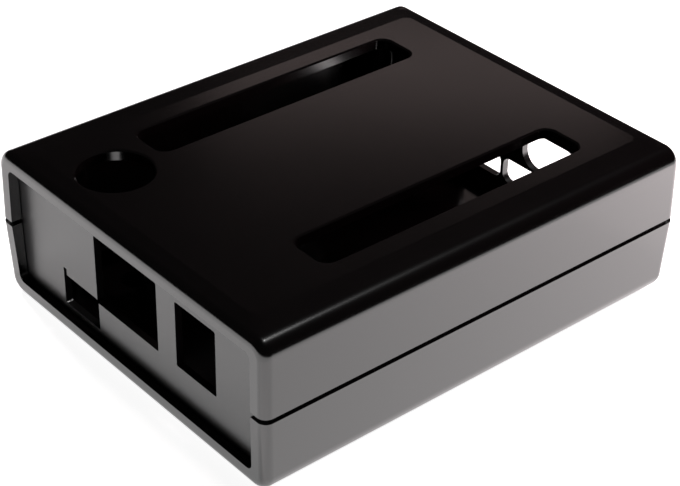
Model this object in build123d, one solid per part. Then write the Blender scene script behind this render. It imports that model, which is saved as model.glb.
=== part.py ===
from build123d import *
from math import radians, tan
import os

# Housing for a credit-card sized single-board computer. Two drafted shells screw together
# from below and trap a loose panel at each open end. X runs along the housing with the
# cable connectors at -X, Y runs across it and Z is up. The origin is the middle of the
# underside. Lengths are in millimetres, and what tapers is measured at the seam.

# Circuit board that the housing holds
BOARD_THICKNESS = 1.6
BOARD_UNDERSIDE = 10.5
BOARD_END_GAP = 4.15

# Shells
CASE_LENGTH = 102.5
CASE_WIDTH = 82.8
BASE_HEIGHT = 16.1
COVER_HEIGHT = 16.5
BASE_DRAFT = 2.3
COVER_DRAFT = 0.7
SIDE_WALL = 2.4
FLOOR_THICKNESS = 2.2
TOP_THICKNESS = 2.2
TOP_EDGE_RADIUS = 3.6
BOTTOM_EDGE_RADIUS = 3.7
INNER_EDGE_RADIUS = 1.5
RIM_RADIUS = 1.9
CROWN_RISE = 0.3
CROWN_END_BORDER = 2.4
CROWN_SIDE_BORDER = 4.2
CROWN_CORNER_RADIUS = 2.0

# Seam: an open joint line, closed behind by a tongue of the base in a rebate of the cover
SEAM_GAP = 1.0
TONGUE_HEIGHT = 2.4
TONGUE_THICKNESS = 1.0
TONGUE_CLEARANCE = 0.1
TONGUE_END_GAP = 1.0

# Header slots and access hole in the top, placed from the board's ends
HEADER_SPACING = 48.26
HEADER_SLOT_WIDTH = 10.0
HEADER_SLOT_RADIUS = 2.5
HEADER_SLOT_LEFT_INSET = 15.15
HEADER_SLOT_RIGHT_INSET = 6.85
ACCESS_HOLE_DIAMETER = 15.0
ACCESS_HOLE_INSET = 4.65
ACCESS_HOLE_Y = 19.4
CUTOUT_CHAMFER = 0.35

# End panels, each between the lip of the end rims and a guide rib
PANEL_RECESS = 2.4
PANEL_THICKNESS = 1.5
PANEL_CLEARANCE = 0.15
LIP_HEIGHT = 1.4
GUIDE_RIB_THICKNESS = 1.4
GUIDE_RIB_HEIGHT = 1.3

# Board seat: a pair of pilot-drilled posts towards each end of the board
LEFT_POST_INSET = 14.6
LEFT_POST_SPACING = 48.26
RIGHT_POST_INSET = 5.8
RIGHT_POST_SPACING = 41.91
POST_DIAMETER = 6.0
POST_PILOT_DIAMETER = 2.3
POST_PILOT_DEPTH = 6.0
GUSSET_REACH = 3.0
GUSSET_THICKNESS = 1.2
GUSSET_DROP = 2.5

# Assembly screws, driven from below through the base into the cover
BOSS_TO_GUIDE_GAP = 1.2
BOSS_TO_WALL_GAP = 1.4
BASE_BOSS_DIAMETER = 8.6
COVER_BOSS_DIAMETER = 7.0
HEAD_DIAMETER = 5.6
HEAD_HEIGHT = 2.1
HEAD_CLEARANCE = 0.3
HEAD_CHAMFER = 0.8
HEAD_SEAT = 8.0
SHANK_DIAMETER = 2.4
SHANK_CLEARANCE = 0.4
SCREW_LENGTH = 16.0
PILOT_CLEARANCE = 0.05
PILOT_END_GAP = 2.0
DRIVE_WIDTH = 0.9
DRIVE_LENGTH = 3.2
DRIVE_DEPTH = 1.1
BOSS_RIB_THICKNESS = 1.4

# Openings in the connector panel: centre across, width, height above the board's top
NETWORK_Y = 2.35
NETWORK_WIDTH = 19.6
NETWORK_HEIGHT = 15.0
NETWORK_BELOW_BOARD_TOP = 1.0
POWER_Y = -18.95
POWER_WIDTH = 11.8
POWER_HEIGHT = 14.0
POWER_BELOW_BOARD_TOP = 0.8
DATA_Y = 17.65
DATA_WIDTH = 11.7
DATA_TOP_BELOW_BOARD_TOP = 0.3
DATA_SILL_ABOVE_LIP = 1.4
DATA_NOTCH_WIDTH = 1.0
DATA_NOTCH_HEIGHT = 1.4
CONNECTOR_CORNER_RADIUS = 0.4

# Openings in the USB panel
USB_Y = -10.8
USB_WIDTH = 15.6
USB_HEIGHT = 8.8
USB_ABOVE_BOARD_TOP = 0.2
USB_CORNER_RADIUS = 3.6
CARD_Y = -4.7
CARD_WIDTH = 13.9
CARD_HEIGHT = 5.7
CARD_ABOVE_BOARD_UNDERSIDE = 1.2
VIDEO_WEB = 0.8
VIDEO_WIDTH = 12.0
SMALL_CORNER_RADIUS = 1.8

# Sizes that follow
CASE_HEIGHT = BASE_HEIGHT + COVER_HEIGHT
SHOULDER_HEIGHT = CASE_HEIGHT - CROWN_RISE
CEILING_HEIGHT = CASE_HEIGHT - TOP_THICKNESS
CAVITY_WIDTH = CASE_WIDTH - 2 * SIDE_WALL
BOARD_TOP = BOARD_UNDERSIDE + BOARD_THICKNESS
PANEL_OUTER_X = CASE_LENGTH / 2 - PANEL_RECESS
PANEL_INNER_X = PANEL_OUTER_X - PANEL_THICKNESS
BOARD_LENGTH = 2 * (PANEL_INNER_X - BOARD_END_GAP)
GROOVE_OUTER_X = PANEL_OUTER_X + PANEL_CLEARANCE
GROOVE_INNER_X = PANEL_INNER_X - PANEL_CLEARANCE
GUIDE_INNER_X = GROOVE_INNER_X - GUIDE_RIB_THICKNESS
SCREW_X = GUIDE_INNER_X - BOSS_TO_GUIDE_GAP - BASE_BOSS_DIAMETER / 2
SCREW_Y = CAVITY_WIDTH / 2 - BOSS_TO_WALL_GAP - BASE_BOSS_DIAMETER / 2
OVERSHOOT = 5.0  # how far a cutting solid runs past what it cuts
WELD = 0.5  # how far a boss or shank runs into the solid that it joins


def lean(z):
    """How far the drafted walls have leaned in at a height."""
    draft = COVER_DRAFT if z > BASE_HEIGHT else BASE_DRAFT
    return abs(z - BASE_HEIGHT) * tan(radians(draft))


def drafted_outline(width, face_z):
    """Half of an outline of the housing: widest at the seam, leaning in to its flat face."""
    half = width / 2
    face_half = half - lean(face_z)
    corners = [(-half, BASE_HEIGHT), (-face_half, face_z), (face_half, face_z), (half, BASE_HEIGHT)]
    return make_face(Polyline(*corners, close=True))


def shell_section(width, face_z, corner_radius):
    """Cross-section of one shell, rounded at its flat face."""
    face = drafted_outline(width, face_z)
    corners = [vertex for vertex in face.vertices() if abs(vertex.Y - face_z) < abs(vertex.Y - BASE_HEIGHT)]
    return fillet(corners, corner_radius)


def along_case(section, length):
    """Extrude a cross-section along X, centred."""
    return extrude(Plane.YZ * section, amount=length / 2, both=True)


def outer_block(face_z, edge_radius):
    """Solid shell before it is hollowed, with drafted ends and rounded rims."""
    block = along_case(shell_section(CASE_WIDTH, face_z, edge_radius), CASE_LENGTH)
    block &= extrude(Plane.XZ * drafted_outline(CASE_LENGTH, face_z), amount=CASE_WIDTH, both=True)
    faces = block.faces().sort_by(Axis.X)
    rims = faces[0].edges() + faces[-1].edges()
    return fillet([edge for edge in rims if abs(edge.center().Z - BASE_HEIGHT) > SEAM_GAP / 2], RIM_RADIUS)


def cavity(face_z, length, inset=0.0):
    """Hollow between the walls over a length of the case, or that hollow drawn in all round."""
    inward = inset if face_z < BASE_HEIGHT else -inset
    return along_case(shell_section(CAVITY_WIDTH - 2 * inset, face_z + inward, INNER_EDGE_RADIUS), length)


def hollow(face_z):
    """Room inside one shell: between its two lips, less its guide ribs, and out through the ends."""
    ribs = cavity(face_z, 2 * GROOVE_INNER_X) - cavity(face_z, 2 * GUIDE_INNER_X)
    ribs -= cavity(face_z, CASE_LENGTH, GUIDE_RIB_HEIGHT)
    mouth = cavity(face_z, CASE_LENGTH + OVERSHOOT, LIP_HEIGHT)
    return cavity(face_z, 2 * GROOVE_OUTER_X) - ribs + mouth


def screw_positions():
    """Places of the four assembly screws, in the order of their names."""
    return {
        "front_left": (-SCREW_X, -SCREW_Y),
        "front_right": (SCREW_X, -SCREW_Y),
        "back_left": (-SCREW_X, SCREW_Y),
        "back_right": (SCREW_X, SCREW_Y),
    }


def upright(x, y, z_low, z_high, diameter):
    """Round bar standing between two heights."""
    return Pos(x, y, z_low) * Cylinder(
        diameter / 2, z_high - z_low, align=(Align.CENTER, Align.CENTER, Align.MIN)
    )


def boss_rib(x, y, z_low, z_high):
    """Web that ties a screw boss to the long wall beside it."""
    side = 1 if y > 0 else -1
    wall_y = side * CASE_WIDTH / 2
    return Pos(x, (y + wall_y) / 2, (z_low + z_high) / 2) * Box(
        BOSS_RIB_THICKNESS, abs(wall_y - y), z_high - z_low
    )


def post_positions():
    """Places of the four board posts."""
    left_x = LEFT_POST_INSET - BOARD_LENGTH / 2
    right_x = BOARD_LENGTH / 2 - RIGHT_POST_INSET
    left = [(left_x, side * LEFT_POST_SPACING / 2) for side in (-1, 1)]
    right = [(right_x, side * RIGHT_POST_SPACING / 2) for side in (-1, 1)]
    return left + right


def board_post(x, y):
    """Pilot-drilled post with four gussets."""
    post = upright(x, y, FLOOR_THICKNESS, BOARD_UNDERSIDE, POST_DIAMETER)
    reach = POST_DIAMETER / 2 + GUSSET_REACH
    gusset_top = BOARD_UNDERSIDE - GUSSET_DROP
    web = make_face(
        Polyline((-reach, FLOOR_THICKNESS), (0, gusset_top), (reach, FLOOR_THICKNESS), close=True)
    )
    web = extrude(Plane.XZ * web, amount=GUSSET_THICKNESS / 2, both=True)
    post += Pos(x, y, 0) * web + Pos(x, y, 0) * Rot(0, 0, 90) * web
    pilot_low = BOARD_UNDERSIDE - POST_PILOT_DEPTH
    return post - upright(x, y, pilot_low, BOARD_UNDERSIDE, POST_PILOT_DIAMETER)


def tongue(grow):
    """The two tongues along the seam, or the rebates that take them when grown."""
    length = CASE_LENGTH - 2 * (TONGUE_END_GAP - grow)
    depth = TONGUE_THICKNESS + grow
    height = TONGUE_HEIGHT + grow
    bars = Part()
    for side in (-1, 1):
        centre_y = side * (CAVITY_WIDTH + depth) / 2
        bars += Pos(0, centre_y, BASE_HEIGHT + height / 2) * Box(length, depth, height)
    return bars


def crown():
    """Sloped border round the flat of the top face."""
    length = CASE_LENGTH - 2 * (lean(SHOULDER_HEIGHT) + RIM_RADIUS)
    width = CASE_WIDTH - 2 * (lean(SHOULDER_HEIGHT) + TOP_EDGE_RADIUS)
    flat_length = length - 2 * CROWN_END_BORDER
    flat_width = width - 2 * CROWN_SIDE_BORDER
    foot = Pos(0, 0, SHOULDER_HEIGHT) * RectangleRounded(length, width, CROWN_CORNER_RADIUS)
    flat = Pos(0, 0, CASE_HEIGHT) * RectangleRounded(flat_length, flat_width, CROWN_CORNER_RADIUS)
    return loft([foot, flat])


def top_cutouts():
    """Outlines of the header slots and the access hole."""
    slot_x = (HEADER_SLOT_LEFT_INSET - HEADER_SLOT_RIGHT_INSET) / 2
    slot_length = BOARD_LENGTH - HEADER_SLOT_LEFT_INSET - HEADER_SLOT_RIGHT_INSET
    slot = RectangleRounded(slot_length, HEADER_SLOT_WIDTH, HEADER_SLOT_RADIUS)
    hole_x = ACCESS_HOLE_INSET - BOARD_LENGTH / 2
    outlines = Pos(hole_x, ACCESS_HOLE_Y) * Circle(ACCESS_HOLE_DIAMETER / 2)
    for side in (-1, 1):
        outlines += Pos(slot_x, side * HEADER_SPACING / 2) * slot
    return outlines


def make_cover():
    """Upper shell."""
    block = outer_block(SHOULDER_HEIGHT, TOP_EDGE_RADIUS) + crown()
    shell = block - hollow(CEILING_HEIGHT)
    for x, y in screw_positions().values():
        boss = upright(x, y, BASE_HEIGHT, CEILING_HEIGHT + WELD, COVER_BOSS_DIAMETER)
        boss += boss_rib(x, y, BASE_HEIGHT + TONGUE_HEIGHT, CEILING_HEIGHT + WELD)
        shell += boss & block
    shell = shell - tongue(TONGUE_CLEARANCE) - seam_gap_ring()
    pilot_top = HEAD_SEAT + SCREW_LENGTH + PILOT_END_GAP
    for x, y in screw_positions().values():
        shell -= upright(x, y, BASE_HEIGHT - OVERSHOOT, pilot_top, SHANK_DIAMETER + 2 * PILOT_CLEARANCE)
    shell -= Pos(0, 0, CASE_HEIGHT) * extrude(top_cutouts(), amount=TOP_THICKNESS + OVERSHOOT, both=True)
    top = shell.faces().sort_by(Axis.Z)[-1]
    cutout_edges = [edge for wire in top.inner_wires() for edge in wire.edges()]
    return chamfer(cutout_edges, CUTOUT_CHAMFER)


def seam_gap_ring():
    """Thin slice off the cover's lower edge, all but its bosses."""
    gap = Pos(0, 0, BASE_HEIGHT + SEAM_GAP / 2) * Box(
        CASE_LENGTH + OVERSHOOT, CASE_WIDTH + OVERSHOOT, SEAM_GAP
    )
    for x, y in screw_positions().values():
        gap -= upright(x, y, BASE_HEIGHT - OVERSHOOT, BASE_HEIGHT + OVERSHOOT, COVER_BOSS_DIAMETER)
    return gap


def make_base():
    """Lower shell."""
    block = outer_block(0, BOTTOM_EDGE_RADIUS)
    shell = block - hollow(FLOOR_THICKNESS)
    for x, y in post_positions():
        shell += board_post(x, y)
    for x, y in screw_positions().values():
        boss = upright(x, y, 0, BASE_HEIGHT, BASE_BOSS_DIAMETER)
        boss += boss_rib(x, y, 0, BASE_HEIGHT)
        shell += boss & block
        shell -= upright(x, y, -OVERSHOOT, HEAD_SEAT, HEAD_DIAMETER + 2 * HEAD_CLEARANCE)
        shell -= upright(x, y, 0, BASE_HEIGHT, SHANK_DIAMETER + 2 * SHANK_CLEARANCE)
    return shell + tongue(0)


def panel_blank(side):
    """Plain end panel, filling the grooves of both shells bar its clearance."""
    upper = cavity(CEILING_HEIGHT, 2 * PANEL_OUTER_X, PANEL_CLEARANCE)
    lower = cavity(FLOOR_THICKNESS, 2 * PANEL_OUTER_X, PANEL_CLEARANCE)
    middle = side * (PANEL_OUTER_X + PANEL_INNER_X) / 2
    slab = Pos(middle, 0, CASE_HEIGHT / 2) * Box(PANEL_THICKNESS, CASE_WIDTH, CASE_HEIGHT)
    return (upper + lower) & slab


def panel_opening(side, centre_y, width, z_low, z_high, radius):
    """Cutter for a rectangular opening with rounded corners."""
    outline = RectangleRounded(width, z_high - z_low, radius)
    cutter = extrude(outline, amount=PANEL_THICKNESS, both=True)
    middle = side * (PANEL_OUTER_X + PANEL_INNER_X) / 2
    facing = Plane(origin=(middle, centre_y, (z_low + z_high) / 2), x_dir=(0, 1, 0), z_dir=(1, 0, 0))
    return facing * cutter


def make_connector_panel():
    """Panel at -X for the network, power and mini data sockets."""
    network_low = BOARD_TOP - NETWORK_BELOW_BOARD_TOP
    power_low = BOARD_TOP - POWER_BELOW_BOARD_TOP
    data_top = BOARD_TOP - DATA_TOP_BELOW_BOARD_TOP
    data_low = FLOOR_THICKNESS + LIP_HEIGHT + DATA_SILL_ABOVE_LIP
    notch_y = DATA_Y + DATA_WIDTH / 2 - DATA_NOTCH_WIDTH / 2
    panel = panel_blank(-1)
    panel -= panel_opening(
        -1, NETWORK_Y, NETWORK_WIDTH, network_low, network_low + NETWORK_HEIGHT, CONNECTOR_CORNER_RADIUS
    )
    panel -= panel_opening(
        -1, POWER_Y, POWER_WIDTH, power_low, power_low + POWER_HEIGHT, CONNECTOR_CORNER_RADIUS
    )
    panel -= panel_opening(-1, DATA_Y, DATA_WIDTH, data_low, data_top, CONNECTOR_CORNER_RADIUS)
    notch_middle_x = -(PANEL_OUTER_X + PANEL_INNER_X) / 2
    panel -= Pos(notch_middle_x, notch_y, data_top) * Box(
        2 * PANEL_THICKNESS, DATA_NOTCH_WIDTH, 2 * DATA_NOTCH_HEIGHT
    )
    return panel


def make_usb_panel():
    """Panel at +X for the host socket, the memory card and the small video socket."""
    usb_low = BOARD_TOP + USB_ABOVE_BOARD_TOP
    card_high = BOARD_UNDERSIDE + CARD_ABOVE_BOARD_UNDERSIDE
    card_low = card_high - CARD_HEIGHT
    video_y = CARD_Y + CARD_WIDTH / 2 + VIDEO_WEB + VIDEO_WIDTH / 2
    panel = panel_blank(1)
    panel -= panel_opening(1, USB_Y, USB_WIDTH, usb_low, usb_low + USB_HEIGHT, USB_CORNER_RADIUS)
    panel -= panel_opening(1, CARD_Y, CARD_WIDTH, card_low, card_high, SMALL_CORNER_RADIUS)
    panel -= panel_opening(1, video_y, VIDEO_WIDTH, card_low, card_high, SMALL_CORNER_RADIUS)
    return panel


def make_screw(x, y):
    """Pan-headed screw standing head down, with a cross recess in its head."""
    head = upright(x, y, HEAD_SEAT - HEAD_HEIGHT, HEAD_SEAT, HEAD_DIAMETER)
    head = chamfer(head.edges().sort_by(Axis.Z)[0], HEAD_CHAMFER)
    recess = Box(DRIVE_LENGTH, DRIVE_WIDTH, 2 * DRIVE_DEPTH) + Box(DRIVE_WIDTH, DRIVE_LENGTH, 2 * DRIVE_DEPTH)
    head -= Pos(x, y, HEAD_SEAT - HEAD_HEIGHT) * recess
    return head + upright(x, y, HEAD_SEAT - WELD, HEAD_SEAT + SCREW_LENGTH, SHANK_DIAMETER)


os.makedirs("parts", exist_ok=True)
pieces = {
    "cover": make_cover(),
    "base": make_base(),
    "connector_end_panel": make_connector_panel(),
    "usb_end_panel": make_usb_panel(),
}
for corner, (screw_x, screw_y) in screw_positions().items():
    pieces[f"{corner}_screw"] = make_screw(screw_x, screw_y)
for node, piece in pieces.items():
    export_step(piece, f"parts/{node}.step")
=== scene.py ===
from math import radians

import bmesh
import bpy
from mathutils import Euler, Matrix, Vector

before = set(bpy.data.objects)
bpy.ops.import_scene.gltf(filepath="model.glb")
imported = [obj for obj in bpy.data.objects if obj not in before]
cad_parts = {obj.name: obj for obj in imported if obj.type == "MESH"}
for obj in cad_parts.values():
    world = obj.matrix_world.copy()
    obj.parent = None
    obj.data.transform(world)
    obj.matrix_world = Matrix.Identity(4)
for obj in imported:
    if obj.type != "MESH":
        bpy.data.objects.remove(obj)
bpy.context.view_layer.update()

mm = 0.001


# --- small helpers for shader trees; owner is a material or the world

def newMaterial(name):
    material = bpy.data.materials.new(name)
    material.use_nodes = True
    material.node_tree.nodes.clear()
    return material


def addNode(owner, kind, inputs=None, **settings):
    node = owner.node_tree.nodes.new(kind)
    for key, value in settings.items():
        setattr(node, key, value)
    for key, value in (inputs or {}).items():
        node.inputs[key].default_value = value
    return node


def link(owner, source, sourceSocket, target, targetSocket):
    owner.node_tree.links.new(source.outputs[sourceSocket], target.inputs[targetSocket])


def whiteRays(owner, mirrorShare):
    # 1 for camera rays, and mirrorShare for glossy and transmission rays
    paths = addNode(owner, "ShaderNodeLightPath")
    mirrored = addNode(owner, "ShaderNodeMath", operation="MAXIMUM")
    share = addNode(owner, "ShaderNodeMath", {1: mirrorShare}, operation="MULTIPLY")
    seen = addNode(owner, "ShaderNodeMath", operation="MAXIMUM")
    link(owner, paths, "Is Glossy Ray", mirrored, 0)
    link(owner, paths, "Is Transmission Ray", mirrored, 1)
    link(owner, mirrored, "Value", share, 0)
    link(owner, paths, "Is Camera Ray", seen, 0)
    link(owner, share, "Value", seen, 1)
    return seen


# --- moulded plastic

shellPlastic = {
    "darkColor": (0.0012, 0.0006, 0.0007, 1),
    "lightColor": (0.0020, 0.0011, 0.0012, 1),
    "mottleScale": 90,
    "mottleDetail": 4,
    "roughLow": 0.16,
    "roughHigh": 0.18,
    "grainScale": 2600,
    "grainDetail": 2,
    "grainBump": 0.000002,
    "waveScale": 45,
    "waveDetail": 1,
    "waveBump": 0.00001,
    "ior": 1.85,
}

# the panels are a little rougher than the shells
panelPlastic = {**shellPlastic, "roughLow": 0.30, "roughHigh": 0.34}


def noiseTexture(owner, place, scale, detail):
    texture = addNode(owner, "ShaderNodeTexNoise", {"Scale": scale, "Detail": detail})
    link(owner, place, "Object", texture, "Vector")
    return texture


def roughRange(owner, texture, finish):
    limits = {"To Min": finish["roughLow"], "To Max": finish["roughHigh"]}
    rough = addNode(owner, "ShaderNodeMapRange", limits)
    link(owner, texture, "Fac", rough, "Value")
    return rough


def plasticMaterial(name, finish):
    material = newMaterial(name)
    place = addNode(material, "ShaderNodeTexCoord")
    mottle = noiseTexture(material, place, finish["mottleScale"], finish["mottleDetail"])
    grain = noiseTexture(material, place, finish["grainScale"], finish["grainDetail"])
    wave = noiseTexture(material, place, finish["waveScale"], finish["waveDetail"])
    tint = addNode(material, "ShaderNodeValToRGB")
    tint.color_ramp.elements[0].color = finish["darkColor"]
    tint.color_ramp.elements[1].color = finish["lightColor"]
    link(material, mottle, "Fac", tint, "Fac")
    rough = roughRange(material, mottle, finish)
    waveBump = addNode(material, "ShaderNodeBump", {"Distance": finish["waveBump"]})
    link(material, wave, "Fac", waveBump, "Height")
    grainBump = addNode(material, "ShaderNodeBump", {"Distance": finish["grainBump"]})
    link(material, grain, "Fac", grainBump, "Height")
    link(material, waveBump, "Normal", grainBump, "Normal")
    plastic = addNode(material, "ShaderNodeBsdfPrincipled", {"IOR": finish["ior"]})
    link(material, tint, "Color", plastic, "Base Color")
    link(material, rough, "Result", plastic, "Roughness")
    link(material, grainBump, "Normal", plastic, "Normal")
    out = addNode(material, "ShaderNodeOutputMaterial")
    link(material, plastic, "BSDF", out, "Surface")
    return material


# --- screw steel

screwSteel = {
    "color": (0.50, 0.50, 0.52, 1),
    "metallic": 1,
    "roughLow": 0.28,
    "roughHigh": 0.42,
    "grainScale": 1800,
    "grainDetail": 3,
}


def steelMaterial(name, finish):
    material = newMaterial(name)
    place = addNode(material, "ShaderNodeTexCoord")
    grain = noiseTexture(material, place, finish["grainScale"], finish["grainDetail"])
    rough = roughRange(material, grain, finish)
    metal = {"Base Color": finish["color"], "Metallic": finish["metallic"]}
    steel = addNode(material, "ShaderNodeBsdfPrincipled", metal)
    link(material, rough, "Result", steel, "Roughness")
    out = addNode(material, "ShaderNodeOutputMaterial")
    link(material, steel, "BSDF", out, "Surface")
    return material


shellMaterial = plasticMaterial("shellPlastic", shellPlastic)
panelMaterial = plasticMaterial("panelPlastic", panelPlastic)
screwMaterial = steelMaterial("screwSteel", screwSteel)


def materialFor(nodeName):
    if nodeName.endswith("screw"):
        return screwMaterial
    if nodeName.endswith("panel"):
        return panelMaterial
    return shellMaterial


for nodeName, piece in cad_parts.items():
    piece.data.materials.clear()
    piece.data.materials.append(materialFor(nodeName))
print("materials ready")


# --- floor

floorSheet = {"halfSize": 3.0, "color": (0.9, 0.9, 0.9, 1), "glow": 0.93, "mirrorShare": 1.0}


def floorMaterial(finish):
    material = newMaterial("studioFloor")
    seen = whiteRays(material, finish["mirrorShare"])
    strength = addNode(material, "ShaderNodeMath", {1: finish["glow"]}, operation="MULTIPLY")
    link(material, seen, "Value", strength, 0)
    glow = addNode(material, "ShaderNodeEmission")
    link(material, strength, "Value", glow, "Strength")
    paper = addNode(material, "ShaderNodeBsdfDiffuse", {"Color": finish["color"]})
    both = addNode(material, "ShaderNodeAddShader")
    link(material, glow, "Emission", both, 0)
    link(material, paper, "BSDF", both, 1)
    out = addNode(material, "ShaderNodeOutputMaterial")
    link(material, both, "Shader", out, "Surface")
    return material


def makeFloor(sizes):
    mesh = bpy.data.meshes.new("studioFloor")
    bm = bmesh.new()
    bmesh.ops.create_grid(bm, x_segments=1, y_segments=1, size=sizes["halfSize"])
    bm.to_mesh(mesh)
    bm.free()
    floor = bpy.data.objects.new("studioFloor", mesh)
    bpy.context.scene.collection.objects.link(floor)
    mesh.materials.append(floorMaterial(sizes))


makeFloor(floorSheet)
print("floor ready")


# --- lamps: each stands at a distance from the middle of the housing, in a direction

lampTarget = (0, 0, 0.015)
lamps = {
    "key": {
        "azimuth": 68, "height": 19, "distance": 0.22,
        "size": (0.06, 0.06), "power": 0.75,
        "color": (1, 0.88, 0.89), "mirrored": False,
    },
    "fill": {
        "azimuth": 182, "height": 42, "distance": 0.36,
        "size": (0.05, 0.05), "power": 0.5,
        "color": (1, 0.88, 0.89), "mirrored": False,
    },
    "strip": {
        "azimuth": 136, "height": 27.6, "distance": 0.95,
        "size": (0.3, 0.06), "power": 0.032,
        "color": (1, 0.8, 0.77), "mirrored": True,
    },
    "spark": {
        "azimuth": 78, "height": 71, "distance": 0.95,
        "size": (0.05, 0.05), "power": 2.4,
        "color": (1, 1, 1), "mirrored": True,
    },
}


def direction(azimuth, height):
    turn = Euler((0, 0, radians(azimuth))).to_matrix()
    return turn @ Euler((-radians(height), 0, 0)).to_matrix() @ Vector((0, -1, 0))


def addLamps(sizes, target):
    for lampName, lampSize in sizes.items():
        light = bpy.data.lights.new(lampName, "AREA")
        light.shape = "RECTANGLE"
        light.size, light.size_y = lampSize["size"]
        light.energy = lampSize["power"]
        light.color = lampSize["color"]
        lamp = bpy.data.objects.new(lampName, light)
        bpy.context.scene.collection.objects.link(lamp)
        lamp.visible_camera = False
        lamp.visible_glossy = lampSize["mirrored"]
        away = direction(lampSize["azimuth"], lampSize["height"])
        lamp.location = target + away * lampSize["distance"]
        lamp.rotation_euler = (-away).to_track_quat("-Z", "Y").to_euler()


addLamps(lamps, Vector(lampTarget))


# --- world: the room is dim, and white where the camera looks past the floor

room = {
    "color": (1, 0.93, 0.93, 1),
    "strength": 0.004,
    "backdrop": (1, 1, 1, 1),
    "mirrorShare": 0.01,
}


def roomWorld(finish):
    world = bpy.data.worlds.new("studio")
    world.use_nodes = True
    world.node_tree.nodes.clear()
    seen = whiteRays(world, finish["mirrorShare"])
    dimLight = {"Color": finish["color"], "Strength": finish["strength"]}
    dim = addNode(world, "ShaderNodeBackground", dimLight)
    backdrop = addNode(world, "ShaderNodeBackground", {"Color": finish["backdrop"]})
    link(world, seen, "Value", backdrop, "Strength")
    both = addNode(world, "ShaderNodeAddShader")
    link(world, dim, "Background", both, 0)
    link(world, backdrop, "Background", both, 1)
    out = addNode(world, "ShaderNodeOutputWorld")
    link(world, both, "Shader", out, "Surface")
    return world


bpy.context.scene.world = roomWorld(room)
bpy.context.scene.view_settings.view_transform = "Standard"
print("lights ready")


# --- camera

view = {
    "place": (-199.74, -233.11, 213.85),  # mm
    "azimuth": -40.62,
    "elevation": 33.52,
    "roll": 1.04,
    "lens": 98.76,
    "sensor": 36,
    "clipStart": 0.01,
    "clipEnd": 20,
}


def addCamera(sizes):
    lens = bpy.data.cameras.new("view")
    lens.sensor_width = sizes["sensor"]
    lens.lens = sizes["lens"]
    lens.clip_start = sizes["clipStart"]
    lens.clip_end = sizes["clipEnd"]
    camera = bpy.data.objects.new("view", lens)
    bpy.context.scene.collection.objects.link(camera)
    camera.location = Vector(sizes["place"]) * mm
    look = Matrix.Rotation(radians(sizes["azimuth"]), 3, "Z")
    look = look @ Matrix.Rotation(radians(90 - sizes["elevation"]), 3, "X")
    look = look @ Matrix.Rotation(radians(sizes["roll"]), 3, "Z")
    camera.rotation_euler = look.to_euler()
    bpy.context.scene.camera = camera


addCamera(view)
print("camera ready")
